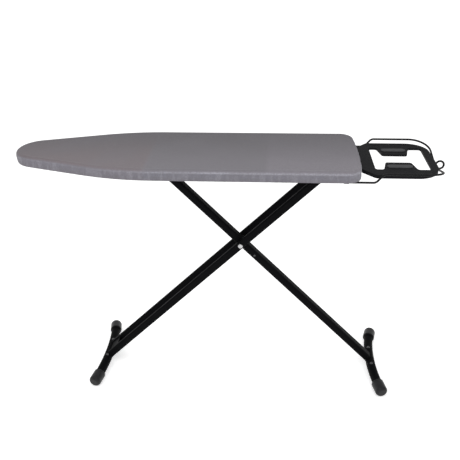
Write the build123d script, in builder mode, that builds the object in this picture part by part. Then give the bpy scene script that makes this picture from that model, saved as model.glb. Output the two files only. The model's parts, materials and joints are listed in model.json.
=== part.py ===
from build123d import *
import math
import os

# Full-size T-leg ironing board, in millimetres.
# X runs along the board, from the nose (-X) to the iron rest (+X); Y runs from the
# front edge (-Y) to the rear edge (+Y); Z is up. The origin is on the floor, under
# the middle of the whole object.

os.makedirs("parts", exist_ok=True)

# --- Ironing surface ---------------------------------------------------------
NOSE_X = -753           # tip of the nose
END_X = 455             # middle of the square end
HALF_WIDTH = 190
END_BOW = 9             # how far the square end bulges beyond its corners
END_CORNER = 48         # corner radius at the square end
NOSE_R = 92             # radius of the nose's tip
NOSE_TAPER = 17.4       # slope of the nose's sides, in degrees
SHOULDER_R = 800        # bend from the nose's sides to the parallel sides

TOP_Z = 929             # ironing surface above the floor
COVER_SKIRT = 39        # height of the cover's side
COVER_T = 1.2           # cloth thickness
COVER_EDGE = 8          # rounding along the top edge of the cover
HEM_WIDTH = 34          # how far the hem turns in under the frame
PAD_T = 8               # felt underlay
DECK_T = 1.4            # steel mesh deck
GAP = 0.1               # clearance between pieces that lie on each other

SKIRT_Z = TOP_Z - COVER_SKIRT
PAD_TOP = TOP_Z - COVER_T - GAP
PAD_BOTTOM = PAD_TOP - PAD_T
DECK_TOP = PAD_BOTTOM - GAP
DECK_BOTTOM = DECK_TOP - DECK_T

# --- Rim and cross bars ------------------------------------------------------
RIM_INSET = 3           # rim's outer wall, inside the cover's outline
RIM_WIDTH = 20
RIM_WALL = 1.5
RIM_BOTTOM = SKIRT_Z + 2
RIM_TOP = DECK_BOTTOM - GAP
BAR_WIDTH = 24
BAR_DEPTH = 12
BAR_WALL = 1.5
BAR_BOTTOM = RIM_TOP - BAR_DEPTH

# --- Folding legs ------------------------------------------------------------
LEG_SLOPE = {-1: 44.3, 1: 45.9}     # tubes of legs A and B when the board stands, in degrees
ARM_ANGLE = 45.1        # slope of the lines from the pivot to both top axles
PIVOT_X = 45.7
PIVOT_Z = 568.8
HINGE_Z = 875           # height of the top axles
TUBE_DEPTH = 29         # tube size in the plane in which the legs fold
TUBE_WALL = 1.5
TWIN_WIDTH = 18         # Y size of each tube of leg A
TWIN_Y = 34.5             # middle of leg A's front and rear tubes
TWIN_ROUND = 6          # corner radius of their section
SINGLE_WIDTH = 42       # Y size of leg B's tube
SINGLE_ROUND = 10
TUBE_OVERRUN = 14       # tube beyond its top axle
PLUG_T = 2.5

UPPER_ARM = (HINGE_Z - PIVOT_Z) / math.sin(math.radians(ARM_ANGLE))
ARM_REACH = (HINGE_Z - PIVOT_Z) / math.tan(math.radians(ARM_ANGLE))
HINGE_X = PIVOT_X + ARM_REACH
SLIDER_X = PIVOT_X - ARM_REACH
FOLD = 40.5             # degrees from standing to folded flat
FOLDED_SLIDER_X = HINGE_X - 2 * UPPER_ARM * math.cos(math.radians(ARM_ANGLE - FOLD))
BAR_X = [-504, -214, 76, HINGE_X]

# --- Feet --------------------------------------------------------------------
FOOT_R = 18             # radius of the foot bars
FOOT_WALL = 1.5
FOOT_SPAN = 180         # half length of a foot bar
FOOT_Z = 28             # height of a bar's middle
FOOT_BOW = {-1: 18, 1: 22}          # how far the left and right bars' ends reach outwards
FOOT_DROP = 6.5         # how far a bar's ends reach down
CAP_R = 23.5            # more than the end's height, so the cap's underside is flat on the floor
CAP_OVERLAP = 38        # cap along the bar
CAP_NOSE = 16           # cap beyond the bar's end
CAP_ROUND = 12
FOOT_SCREW_Y = 51
LOWER_ARM = {side: (PIVOT_Z - FOOT_Z) / math.sin(math.radians(LEG_SLOPE[side])) for side in LEG_SLOPE}

# --- Axles, bolts and slide --------------------------------------------------
PIN_R = 4
RUN = 0.05              # radial running clearance
SLEEVE_R = 7            # leg B's pivot sleeve
BUSH_R = 6              # leg A's hinge bushes
WASHER_R = 11
RIVET_ALONG = 74        # stop rivet on leg B, below the pivot
RAIL_Y = 32             # middle of each slotted rail's web
RAIL_T = 2
RAIL_FLANGE = 20
RAIL_BOTTOM = 860
RAIL_START = -552
RAIL_END = -204
SLOT_HALF = 6.3         # half height of the rail's slot
SHOE_HALF = 6           # half height of the shoe's slot block
SHOE_LENGTH = 20
SHOE_FLANGE_R = 11
BRACKET_T = 2
BRACKET_Y = 46.5        # middle of each hinge bracket's web
BRACKET_WIDTH = 34

# --- Release lever -----------------------------------------------------------
ROD_Y = -74
ROD_Z = 866
ROD_R = 4
ROD_START = -516
ROD_END = 154
COMB_START = -496
COMB_END = -246
COMB_Y = -48            # upright lip of the latch comb
COMB_T = 2.5
COMB_TOP = 870          # just under the slide axle
NOTCH_X = [-476, -426, -376, -326]
NOTCH_R = 4.6
GRIP_Y = -108
GRIP_X = (64, 150)
GRIP_R = 7
HANGER_X = [-504, -214, 76]
SPRING_X = 88

# --- Iron rest ---------------------------------------------------------------
REST_START = 458
REST_END = 712
REST_TOP = 905
REST_T = 2
REST_FLANGE = 12
REST_HALF = 151
REST_NECK_HALF = 104
REST_SHOULDER_X = 498
REST_SHOULDER_R = 20
REST_CORNER = 78
REST_HOLE = (502, 686)
REST_HOLE_HALF = 101
HOLE_LIP = 6
TAB_X = 586             # middle of both inward tabs
TAB_TIP = 43            # half length of a tab's tip
TAB_ROOT = 56           # half length of a tab's root
TAB_REACH = 38          # distance of a tab's tip from the centre line
TAB_ROUND = 10
TONGUE = (396, REST_START + REST_T)
TONGUE_HALF = 85
REST_PAD = (86, 26)     # length and width of a silicone pad
REST_PAD_Y = 76
REST_PAD_T = 3
REST_SCREW_X = 443
REST_SCREW_Y = 62
SCREW_R = 3
WIRE_R = 3.5
WIRE_Y = 168
WIRE_CLIP_T = 1.5
WIRE_LOW = SKIRT_Z - WIRE_R - WIRE_CLIP_T
WIRE_TOP = 914
WIRE_START = 381
WIRE_RISE = (496, 520)  # the wire climbs from beside the rim to its top level
WIRE_END = 723.5
WIRE_CORNER = 72
WIRE_DIP_Y = 50         # the end dips to the ring's level from here
RING_R = 13.75             # mean radius of the cable ring in the guard wire
RING_X = 735.5
RING_Z = 883


def outline(inset=0):
    """Plan shape of the ironing surface, drawn inwards by inset."""
    taper = math.radians(NOSE_TAPER)
    touch = (NOSE_X + NOSE_R * (1 - math.sin(taper)), NOSE_R * math.cos(taper))
    shoulder_x = touch[0] + (HALF_WIDTH - touch[1]) / math.tan(taper)
    corner = (END_X - END_BOW, HALF_WIDTH)
    with BuildSketch(mode=Mode.PRIVATE) as plan:
        with BuildLine():
            Polyline(touch, (shoulder_x, HALF_WIDTH), corner)
            mirror(about=Plane.XZ)
            ThreePointArc(touch, (NOSE_X, 0), (touch[0], -touch[1]))
            ThreePointArc(corner, (END_X, 0), (corner[0], -corner[1]))
        make_face()
        fillet(plan.vertices().group_by(Axis.X)[-1], END_CORNER)
        shoulders = plan.vertices().filter_by(lambda v: abs(v.X - shoulder_x) < 1)
        fillet(shoulders, SHOULDER_R)
        if inset:
            offset(amount=-inset, mode=Mode.REPLACE)
    return plan.sketch


def across(x, y, z):
    """Plane square to Y, for pins and plates that lie across the legs."""
    return Plane(origin=(x, y, z), x_dir=(1, 0, 0), z_dir=(0, 1, 0))


def leg_axis(side):
    """Direction from the pivot to the foot: leg A is side -1, leg B is side +1."""
    slope = math.radians(LEG_SLOPE[side])
    return Vector(side * math.cos(slope), 0, -math.sin(slope))


def leg_plane(side, distance, y=0):
    """Plane square to a leg, at a distance from the pivot towards the foot."""
    origin = Vector(PIVOT_X, y, PIVOT_Z) + leg_axis(side) * distance
    return Plane(origin=origin, x_dir=(0, 1, 0), z_dir=leg_axis(side))


def foot_points(side):
    """Front end, middle and rear end of a foot bar's curved centre line."""
    middle = Vector(PIVOT_X, 0, PIVOT_Z) + leg_axis(side) * LOWER_ARM[side]
    end = middle + Vector(side * FOOT_BOW[side], 0, -FOOT_DROP)
    return end - Vector(0, FOOT_SPAN, 0), middle, end + Vector(0, FOOT_SPAN, 0)


def foot_solid(side, radius):
    """A round bar along a foot's curve, as a tool to cut its neighbours."""
    with BuildPart(mode=Mode.PRIVATE) as bar:
        with BuildLine() as path:
            ThreePointArc(*foot_points(side))
        with BuildSketch(Plane(origin=path.line @ 0, z_dir=path.line % 0)):
            Circle(radius)
        sweep()
    return bar.part


def rounded_slab(bottom, top, inset):
    """Slab in the ironing surface's shape, with a rounded top edge."""
    with BuildPart(mode=Mode.PRIVATE) as slab:
        with BuildSketch(Plane.XY.offset(bottom)):
            add(outline(inset))
        extrude(amount=top - bottom)
        fillet(slab.faces().sort_by(Axis.Z)[-1].edges(), COVER_EDGE - inset)
    return slab.part


def finish(piece, name):
    """Label a finished piece and write it as its own file."""
    piece.part.label = name
    export_step(piece.part, f"parts/{name}.step")


# --- Cover, pad and deck -----------------------------------------------------
with BuildPart() as cover:
    add(rounded_slab(SKIRT_Z, TOP_Z, 0))
    add(rounded_slab(SKIRT_Z + COVER_T, TOP_Z - COVER_T, COVER_T), mode=Mode.SUBTRACT)
    with BuildSketch(Plane.XY.offset(SKIRT_Z)):
        add(outline(HEM_WIDTH))
    extrude(amount=COVER_T, mode=Mode.SUBTRACT)
    # notch in the hem and skirt where the iron rest's tongue comes out
    with BuildSketch(Plane.XY.offset(SKIRT_Z)):
        with Locations((TONGUE[1], 0)):
            Rectangle(2 * HEM_WIDTH + 20, 2 * TONGUE_HALF + 4)
    extrude(amount=RIM_BOTTOM - SKIRT_Z + 0.3, mode=Mode.SUBTRACT)
finish(cover, "cover")

with BuildPart() as pad:
    add(rounded_slab(PAD_BOTTOM, PAD_TOP, COVER_T + GAP))
finish(pad, "pad")

with BuildPart() as deck_mesh:
    with BuildSketch(Plane.XY.offset(DECK_BOTTOM)):
        add(outline(RIM_INSET))
    extrude(amount=DECK_T)
finish(deck_mesh, "deck_mesh")

# rim: a rolled channel, open towards the inside
with BuildPart() as rim_frame:
    with BuildSketch(Plane.XY.offset(RIM_BOTTOM)):
        add(outline(RIM_INSET))
        add(outline(RIM_INSET + RIM_WIDTH), mode=Mode.SUBTRACT)
    extrude(amount=RIM_TOP - RIM_BOTTOM)
    with BuildSketch(Plane.XY.offset(RIM_BOTTOM + RIM_WALL)):
        add(outline(RIM_INSET + RIM_WALL))
    extrude(amount=RIM_TOP - RIM_BOTTOM - 2 * RIM_WALL, mode=Mode.SUBTRACT)
    for y in (-REST_SCREW_Y, REST_SCREW_Y):
        with Locations((REST_SCREW_X, y, RIM_BOTTOM)):
            Cylinder(SCREW_R, 4 * RIM_WALL, mode=Mode.SUBTRACT)
finish(rim_frame, "rim_frame")

# cross bars: inverted channels welded between the rim's flanges
with BuildPart() as cross_bars:
    with BuildSketch(Plane.XY.offset(BAR_BOTTOM)):
        for x in BAR_X:
            with Locations((x, 0)):
                Rectangle(BAR_WIDTH, 3 * HALF_WIDTH)
        add(outline(RIM_INSET + RIM_WIDTH), mode=Mode.INTERSECT)
    extrude(amount=BAR_DEPTH)
    with BuildSketch(Plane.XY.offset(BAR_BOTTOM + BAR_WALL)):
        for x in BAR_X:
            with Locations((x, 0)):
                Rectangle(BAR_WIDTH - 2 * BAR_WALL, 3 * HALF_WIDTH)
    extrude(amount=BAR_DEPTH, mode=Mode.SUBTRACT)
finish(cross_bars, "cross_bars")

# --- Slotted rails under the deck --------------------------------------------
RAIL_LENGTH = RAIL_END - RAIL_START
RAIL_MIDDLE = (RAIL_START + RAIL_END) / 2
SLOT_LENGTH = SLIDER_X - FOLDED_SLIDER_X + SHOE_LENGTH + 4
SLOT_MIDDLE = (SLIDER_X + FOLDED_SLIDER_X) / 2

for name, side in (("front_rail", -1), ("rear_rail", 1)):
    web_y = side * RAIL_Y
    with BuildPart() as rail:
        with BuildSketch(across(RAIL_MIDDLE, web_y - RAIL_T / 2, RAIL_BOTTOM)):
            Rectangle(RAIL_LENGTH, BAR_BOTTOM - RAIL_BOTTOM, align=(Align.CENTER, Align.MAX))
        extrude(amount=RAIL_T)
        with BuildSketch(across(SLOT_MIDDLE, web_y - RAIL_T, HINGE_Z)):
            Rectangle(SLOT_LENGTH, 2 * SLOT_HALF)
        extrude(amount=2 * RAIL_T, mode=Mode.SUBTRACT)
        flange_y = web_y + side * (RAIL_FLANGE - RAIL_T) / 2
        with Locations((RAIL_MIDDLE, flange_y, BAR_BOTTOM - RAIL_T / 2)):
            Box(RAIL_LENGTH, RAIL_FLANGE, RAIL_T)
    finish(rail, name)

# --- Fixed hinge of leg A -----------------------------------------------------
for name, side in (("front_hinge_bracket", -1), ("rear_hinge_bracket", 1)):
    web_y = side * BRACKET_Y
    with BuildPart() as bracket:
        with BuildSketch(across(HINGE_X, web_y - BRACKET_T / 2, HINGE_Z)):
            Circle(BRACKET_WIDTH / 2 - 4)
            with Locations((0, HINGE_Z - BAR_BOTTOM)):
                Rectangle(BRACKET_WIDTH, 14, align=(Align.CENTER, Align.MIN))
            make_hull()
            Circle(PIN_R + RUN, mode=Mode.SUBTRACT)
        extrude(amount=BRACKET_T)
        flange_y = web_y + side * (RAIL_FLANGE - BRACKET_T) / 2
        with Locations((HINGE_X, flange_y, BAR_BOTTOM - BRACKET_T / 2)):
            Box(BRACKET_WIDTH, RAIL_FLANGE, BRACKET_T)
    finish(bracket, name)

AXLE_HALF = BRACKET_Y + 7
with BuildPart() as hinge_axle:
    with BuildSketch(across(HINGE_X, -AXLE_HALF, HINGE_Z)):
        Circle(PIN_R)
    extrude(amount=2 * AXLE_HALF)
finish(hinge_axle, "hinge_axle")

with BuildPart() as hinge_nuts:
    for y in (-AXLE_HALF, BRACKET_Y + BRACKET_T / 2):
        with BuildSketch(across(HINGE_X, y, HINGE_Z)):
            RegularPolygon(7.5, 6)
            Circle(PIN_R, mode=Mode.SUBTRACT)
        extrude(amount=AXLE_HALF - BRACKET_Y - BRACKET_T / 2)
finish(hinge_nuts, "hinge_nuts")

# --- Leg A: twin tubes, foot on the nose side ---------------------------------
TWIN_INNER = TWIN_Y - TWIN_WIDTH / 2
TWIN_OUTER = TWIN_Y + TWIN_WIDTH / 2

for name, y in (("leg_a_front_tube", -TWIN_Y), ("leg_a_rear_tube", TWIN_Y)):
    with BuildPart() as tube:
        with BuildSketch(leg_plane(-1, -UPPER_ARM - TUBE_OVERRUN, y)):
            RectangleRounded(TWIN_WIDTH, TUBE_DEPTH, TWIN_ROUND)
            RectangleRounded(TWIN_WIDTH - 2 * TUBE_WALL, TUBE_DEPTH - 2 * TUBE_WALL,
                             TWIN_ROUND - TUBE_WALL, mode=Mode.SUBTRACT)
        extrude(amount=UPPER_ARM + TUBE_OVERRUN + LOWER_ARM[-1])
        for x, z, radius in ((HINGE_X, HINGE_Z, BUSH_R), (PIVOT_X, PIVOT_Z, PIN_R + GAP)):
            with BuildSketch(across(x, y - TWIN_WIDTH, z)):
                Circle(radius)
            extrude(amount=2 * TWIN_WIDTH, mode=Mode.SUBTRACT)
        add(foot_solid(-1, FOOT_R), mode=Mode.SUBTRACT)
    finish(tube, name)

with BuildPart() as hinge_bushes:
    for y in (-TWIN_Y, TWIN_Y):
        with BuildSketch(across(HINGE_X, y - TWIN_WIDTH / 2 - 0.9, HINGE_Z)):
            Circle(BUSH_R)
            Circle(PIN_R + RUN, mode=Mode.SUBTRACT)
        extrude(amount=TWIN_WIDTH + 1.8)
finish(hinge_bushes, "hinge_bushes")

with BuildPart() as leg_a_plugs:
    for y in (-TWIN_Y, TWIN_Y):
        with BuildSketch(leg_plane(-1, -UPPER_ARM - TUBE_OVERRUN, y)):
            RectangleRounded(TWIN_WIDTH, TUBE_DEPTH, TWIN_ROUND)
        extrude(amount=-PLUG_T)
        with BuildSketch(leg_plane(-1, -UPPER_ARM - TUBE_OVERRUN, y)):
            RectangleRounded(TWIN_WIDTH - 2 * TUBE_WALL - GAP, TUBE_DEPTH - 2 * TUBE_WALL - GAP,
                             TWIN_ROUND - TUBE_WALL)
        extrude(amount=TUBE_OVERRUN - BUSH_R - 1)
finish(leg_a_plugs, "leg_a_plugs")

SPACER_AT = -UPPER_ARM + 62
with BuildPart() as leg_a_spacer:
    with BuildSketch(Plane(origin=leg_plane(-1, SPACER_AT, -TWIN_INNER).origin, z_dir=(0, 1, 0))):
        Circle(8)
        Circle(6.5, mode=Mode.SUBTRACT)
    extrude(amount=2 * TWIN_INNER)
finish(leg_a_spacer, "leg_a_spacer")

with BuildPart() as leg_a_gusset:
    with BuildSketch(leg_plane(-1, LOWER_ARM[-1] - FOOT_R - 46)):
        Rectangle(2 * TWIN_INNER, TUBE_DEPTH - 10)
        Rectangle(2 * TWIN_INNER, TUBE_DEPTH - 14, mode=Mode.SUBTRACT)
    extrude(amount=44)
finish(leg_a_gusset, "leg_a_gusset")

# --- Leg B: one wide tube between leg A's, foot on the iron-rest side ----------
with BuildPart() as leg_b_tube:
    with BuildSketch(leg_plane(1, -UPPER_ARM - TUBE_OVERRUN)):
        RectangleRounded(SINGLE_WIDTH, TUBE_DEPTH, SINGLE_ROUND)
        RectangleRounded(SINGLE_WIDTH - 2 * TUBE_WALL, TUBE_DEPTH - 2 * TUBE_WALL,
                         SINGLE_ROUND - TUBE_WALL, mode=Mode.SUBTRACT)
    extrude(amount=UPPER_ARM + TUBE_OVERRUN + LOWER_ARM[1])
    for x, z, radius in ((SLIDER_X, HINGE_Z, PIN_R), (PIVOT_X, PIVOT_Z, SLEEVE_R)):
        with BuildSketch(across(x, -SINGLE_WIDTH, z)):
            Circle(radius)
        extrude(amount=2 * SINGLE_WIDTH, mode=Mode.SUBTRACT)
    with BuildSketch(Plane(origin=leg_plane(1, RIVET_ALONG, -SINGLE_WIDTH).origin, z_dir=(0, 1, 0))):
        Circle(PIN_R / 2)
    extrude(amount=SINGLE_WIDTH, mode=Mode.SUBTRACT)
    add(foot_solid(1, FOOT_R), mode=Mode.SUBTRACT)
finish(leg_b_tube, "leg_b_tube")

with BuildPart() as pivot_sleeve:
    with BuildSketch(across(PIVOT_X, -SINGLE_WIDTH / 2, PIVOT_Z)):
        Circle(SLEEVE_R)
        Circle(PIN_R + RUN, mode=Mode.SUBTRACT)
    extrude(amount=SINGLE_WIDTH)
finish(pivot_sleeve, "pivot_sleeve")

with BuildPart() as leg_b_plug:
    with BuildSketch(leg_plane(1, -UPPER_ARM - TUBE_OVERRUN)):
        RectangleRounded(SINGLE_WIDTH, TUBE_DEPTH, SINGLE_ROUND)
    extrude(amount=-PLUG_T)
    with BuildSketch(leg_plane(1, -UPPER_ARM - TUBE_OVERRUN)):
        RectangleRounded(SINGLE_WIDTH - 2 * TUBE_WALL - GAP, TUBE_DEPTH - 2 * TUBE_WALL - GAP,
                         SINGLE_ROUND - TUBE_WALL)
    extrude(amount=TUBE_OVERRUN - PIN_R - 3)
finish(leg_b_plug, "leg_b_plug")

# domed stop rivet on leg B's front face
with BuildPart() as stop_rivet:
    rivet_at = leg_plane(1, RIVET_ALONG, -SINGLE_WIDTH / 2).origin
    with BuildSketch(Plane(origin=rivet_at, z_dir=(0, -1, 0))):
        Circle(4.5)
    extrude(amount=1.2, taper=25)
    with BuildSketch(Plane(origin=rivet_at, z_dir=(0, 1, 0))):
        Circle(PIN_R / 2)
    extrude(amount=5)
finish(stop_rivet, "stop_rivet")

# --- Pivot of the two legs ----------------------------------------------------
WASHER_T = TWIN_INNER - SINGLE_WIDTH / 2 - GAP
with BuildPart() as pivot_washers:
    for y in (-TWIN_INNER, TWIN_INNER - WASHER_T):
        with BuildSketch(across(PIVOT_X, y, PIVOT_Z)):
            Circle(WASHER_R)
            Circle(PIN_R + GAP, mode=Mode.SUBTRACT)
        extrude(amount=WASHER_T)
finish(pivot_washers, "pivot_washers")

BOLT_HEAD_R = 9
BOLT_HEAD_T = 6
with BuildPart() as pivot_bolt:
    with BuildSketch(across(PIVOT_X, -TWIN_OUTER, PIVOT_Z)):
        Circle(PIN_R)
    extrude(amount=2 * TWIN_OUTER + 9)
    with BuildSketch(Plane(origin=(PIVOT_X, -TWIN_OUTER, PIVOT_Z), z_dir=(0, -1, 0))):
        Circle(BOLT_HEAD_R)
    extrude(amount=BOLT_HEAD_T)
    fillet(pivot_bolt.edges().filter_by(GeomType.CIRCLE).sort_by(Axis.Y)[0], BOLT_HEAD_T - 2)
finish(pivot_bolt, "pivot_bolt")

with BuildPart() as pivot_nut:
    with BuildSketch(across(PIVOT_X, TWIN_OUTER, PIVOT_Z)):
        RegularPolygon(8, 6)
        Circle(PIN_R, mode=Mode.SUBTRACT)
    extrude(amount=6.5)
finish(pivot_nut, "pivot_nut")

# --- Feet ----------------------------------------------------------------------
for prefix, side in (("left", -1), ("right", 1)):
    with BuildPart() as foot_bar:
        with BuildLine() as path:
            ThreePointArc(*foot_points(side))
        with BuildSketch(Plane(origin=path.line @ 0, z_dir=path.line % 0)):
            Circle(FOOT_R)
            Circle(FOOT_R - FOOT_WALL, mode=Mode.SUBTRACT)
        sweep()
    finish(foot_bar, f"{prefix}_foot_bar")

    for place, end, outward in (("front", 0, -1), ("rear", 1, 1)):
        with BuildPart() as cap:
            tip = path.line @ end
            along = (path.line % end) * outward
            with BuildSketch(Plane(origin=tip - along * CAP_OVERLAP, z_dir=along)):
                Circle(CAP_R)
            extrude(amount=CAP_OVERLAP + CAP_NOSE)
            fillet(cap.edges().sort_by(Axis.Y)[-1 if outward > 0 else 0], CAP_ROUND)
            fillet(cap.edges().sort_by(Axis.Y)[0 if outward > 0 else -1], 2)
            add(foot_solid(side, FOOT_R + GAP), mode=Mode.SUBTRACT)
            split(bisect_by=Plane.XY, keep=Keep.TOP)
        finish(cap, f"{prefix}_{place}_foot_cap")

# domed screws on top of the foot bars, either side of the leg
for name, side in (("left_foot_screws", -1), ("right_foot_screws", 1)):
    with BuildPart() as screws:
        for y in (-FOOT_SCREW_Y, FOOT_SCREW_Y):
            seat = foot_points(side)[1] + Vector(0, y, FOOT_R - 1.5)
            with BuildSketch(Plane.XY.offset(seat.Z)):
                with Locations((seat.X, seat.Y)):
                    Circle(6)
            extrude(amount=4, taper=20)
        add(foot_solid(side, FOOT_R), mode=Mode.SUBTRACT)
    finish(screws, name)

# --- Slide at leg B's top --------------------------------------------------------
SLIDE_REACH = 51
with BuildPart() as slide_axle:
    with BuildSketch(across(SLIDER_X, -SLIDE_REACH, HINGE_Z)):
        Circle(PIN_R)
    extrude(amount=SLIDE_REACH + RAIL_Y + 8)
finish(slide_axle, "slide_axle")

SHOE_INNER = SINGLE_WIDTH / 2 + 1
for name, side in (("front_slide_shoe", -1), ("rear_slide_shoe", 1)):
    with BuildPart() as shoe:
        plane = Plane(origin=(SLIDER_X, side * SHOE_INNER, HINGE_Z), x_dir=(1, 0, 0), z_dir=(0, side, 0))
        with BuildSketch(plane):
            Circle(SHOE_FLANGE_R)
        extrude(amount=RAIL_Y - RAIL_T / 2 - SHOE_INNER - 0.4)
        with BuildSketch(plane):
            RectangleRounded(SHOE_LENGTH, 2 * SHOE_HALF, 3)
        extrude(amount=RAIL_Y + RAIL_T / 2 - SHOE_INNER + 1)
        with BuildSketch(plane.offset(-1)):
            Circle(PIN_R + RUN)
        extrude(amount=4 * SHOE_FLANGE_R, mode=Mode.SUBTRACT)
    finish(shoe, name)

# spring clips that hold the shoes on the axle, in leg B's body
with BuildPart() as axle_clips:
    for y in (-RAIL_Y - 4, RAIL_Y + 3):
        with BuildSketch(across(SLIDER_X, y, HINGE_Z)):
            Circle(8)
            Circle(PIN_R, mode=Mode.SUBTRACT)
            with Locations((-7, 0)):
                Rectangle(10, 4, mode=Mode.SUBTRACT)
        extrude(amount=1)
finish(axle_clips, "axle_clips")

# --- Release lever under the front edge ------------------------------------------
with BuildPart() as lever_rod:
    with BuildSketch(Plane(origin=(ROD_START, ROD_Y, ROD_Z), z_dir=(1, 0, 0))):
        Circle(ROD_R)
    extrude(amount=ROD_END - ROD_START)
    for x in GRIP_X:
        with BuildSketch(Plane(origin=(x, ROD_Y, ROD_Z), z_dir=(0, -1, 0))):
            Circle(3)
        extrude(amount=ROD_Y - GRIP_Y)
finish(lever_rod, "lever_rod")

with BuildPart() as lever_grip:
    with BuildSketch(Plane(origin=(GRIP_X[0] - 9, GRIP_Y, ROD_Z), x_dir=(0, 1, 0), z_dir=(1, 0, 0))):
        SlotOverall(26, 2 * GRIP_R)
    extrude(amount=GRIP_X[1] - GRIP_X[0] + 18)
    fillet(lever_grip.faces().filter_by(Axis.X).edges(), 4)
    for x in GRIP_X:
        with BuildSketch(Plane(origin=(x, ROD_Y, ROD_Z), z_dir=(0, -1, 0))):
            Circle(3)
        extrude(amount=ROD_Y - GRIP_Y, mode=Mode.SUBTRACT)
finish(lever_grip, "lever_grip")

with BuildPart() as latch_comb:
    with BuildSketch(across(0, COMB_Y - COMB_T / 2, 0)):
        with BuildLine():
            Polyline((COMB_START, -ROD_Z + 1.25), (COMB_START, -COMB_TOP), (COMB_END, -COMB_TOP),
                     (COMB_END, -ROD_Z + 1.25), close=True)
        make_face()
    extrude(amount=COMB_T)
    with Locations(((COMB_START + COMB_END) / 2, (COMB_Y + ROD_Y) / 2, ROD_Z)):
        Box(COMB_END - COMB_START, COMB_Y - ROD_Y, COMB_T)
    for x in NOTCH_X:
        with Locations((x, COMB_Y, COMB_TOP)):
            Cylinder(NOTCH_R, 4 * COMB_T, rotation=(90, 0, 0), mode=Mode.SUBTRACT)
    with BuildSketch(Plane(origin=(COMB_START, ROD_Y, ROD_Z), z_dir=(1, 0, 0))):
        Circle(ROD_R)
    extrude(amount=COMB_END - COMB_START, mode=Mode.SUBTRACT)
finish(latch_comb, "latch_comb")

with BuildPart() as lever_hangers:
    for x in HANGER_X:
        with BuildSketch(Plane(origin=(x - 1, ROD_Y, ROD_Z), x_dir=(0, 1, 0), z_dir=(1, 0, 0))):
            Circle(8)
            with Locations((0, BAR_BOTTOM - ROD_Z)):
                Rectangle(16, 10, align=(Align.CENTER, Align.MAX))
            make_hull()
            Circle(ROD_R + RUN, mode=Mode.SUBTRACT)
        extrude(amount=2)
finish(lever_hangers, "lever_hangers")

with BuildPart() as lever_spring:
    with BuildLine() as coil:
        Helix(2.2, 11, ROD_R + 1.4, center=(SPRING_X, ROD_Y, ROD_Z), direction=(1, 0, 0))
    with BuildSketch(Plane(origin=coil.line @ 0, z_dir=coil.line % 0)):
        Circle(0.8)
    sweep(is_frenet=True)
finish(lever_spring, "lever_spring")

# --- Iron rest ---------------------------------------------------------------------
def rest_outline(inset=0):
    """Plan shape of the iron rest's tray, drawn inwards by inset."""
    with BuildSketch(mode=Mode.PRIVATE) as plan:
        with BuildLine():
            Polyline((REST_START, 0), (REST_START, REST_NECK_HALF), (REST_SHOULDER_X, REST_HALF),
                     (REST_END, REST_HALF), (REST_END, 0))
            mirror(about=Plane.XZ)
        make_face()
        fillet(plan.vertices().group_by(Axis.X)[-1], REST_CORNER)
        shoulders = plan.vertices().sort_by(Axis.X)[2:4]
        fillet(shoulders, REST_SHOULDER_R)
        if inset:
            offset(amount=-inset, mode=Mode.REPLACE)
    return plan.sketch


def rest_hole(outset=0):
    """Opening in the tray with its two inward tabs, drawn outwards by outset."""
    with BuildSketch(mode=Mode.PRIVATE) as plan:
        with BuildLine():
            Polyline((REST_HOLE[0], 0), (REST_HOLE[0], REST_HOLE_HALF), (TAB_X - TAB_ROOT, REST_HOLE_HALF),
                     (TAB_X - TAB_TIP, TAB_REACH), (TAB_X + TAB_TIP, TAB_REACH),
                     (TAB_X + TAB_ROOT, REST_HOLE_HALF), (REST_HOLE[1], REST_HOLE_HALF), (REST_HOLE[1], 0))
            mirror(about=Plane.XZ)
        make_face()
        corners = plan.vertices().filter_by(lambda v: abs(v.Y) > 1)
        fillet(corners, TAB_ROUND)
        if outset:
            offset(amount=outset, mode=Mode.REPLACE)
    return plan.sketch


with BuildPart() as iron_rest:
    with BuildSketch(Plane.XY.offset(REST_TOP - REST_FLANGE)):
        add(rest_outline())
    extrude(amount=REST_FLANGE)
    fillet(iron_rest.faces().sort_by(Axis.Z)[-1].edges(), 1.8)
    with BuildSketch(Plane.XY.offset(REST_TOP - REST_FLANGE)):
        add(rest_outline(REST_T))
    extrude(amount=REST_FLANGE - REST_T, mode=Mode.SUBTRACT)
    with BuildSketch(Plane.XY.offset(REST_TOP - REST_T - HOLE_LIP)):
        add(rest_hole(REST_T))
    extrude(amount=HOLE_LIP)
    with BuildSketch(Plane.XY.offset(REST_TOP - REST_FLANGE)):
        add(rest_hole())
    extrude(amount=REST_FLANGE, mode=Mode.SUBTRACT)
    # tongue that runs in under the rim
    with BuildSketch(Plane.XY.offset(RIM_BOTTOM - REST_T)):
        with Locations(((TONGUE[0] + TONGUE[1]) / 2, 0)):
            RectangleRounded(TONGUE[1] - TONGUE[0], 2 * TONGUE_HALF, 6)
        for y in (-REST_SCREW_Y, REST_SCREW_Y):
            with Locations((REST_SCREW_X, y)):
                Circle(SCREW_R, mode=Mode.SUBTRACT)
    extrude(amount=REST_T)
    # step that joins the tongue to the tray
    with Locations((REST_START, 0, RIM_BOTTOM - REST_T)):
        Box(REST_T, 2 * TONGUE_HALF, REST_TOP - RIM_BOTTOM, align=(Align.MIN, Align.CENTER, Align.MIN))
finish(iron_rest, "iron_rest")

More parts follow.
